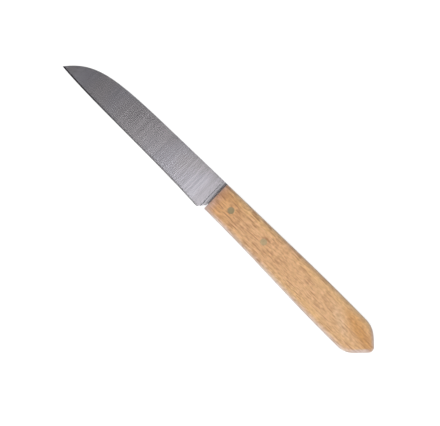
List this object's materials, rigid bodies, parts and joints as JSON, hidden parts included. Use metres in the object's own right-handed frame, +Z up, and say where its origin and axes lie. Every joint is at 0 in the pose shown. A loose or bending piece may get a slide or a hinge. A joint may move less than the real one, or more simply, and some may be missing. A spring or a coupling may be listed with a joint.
{
  "type": "paring knife",
  "caption": "Small kitchen knife: a thin flat-ground blade with a curved back, riveted by its tang into a slotted beech handle with a pointed butt.",
  "frame": {"origin": "centre of the knife's outline, on the plane that its lower side rests on", "axes": "+X from the tip of the blade to the butt of the handle, +Y towards the back of the knife, +Z up out of its upper side"},
  "size_m": [0.1859, 0.018, 0.0095],
  "materials": {
    "blade_steel": "fine scratches across the blade, satin",
    "handle_beech": "sanded bare beech with fine short flecks, matt",
    "rivet_metal": "dressed flush with the wood, dull satin"
  },
  "bodies": {
    "root": {"blade": "blade_steel", "handle": "handle_beech", "front_rivet": "rivet_metal", "rear_rivet": "rivet_metal"}
  },
  "joints": []
}
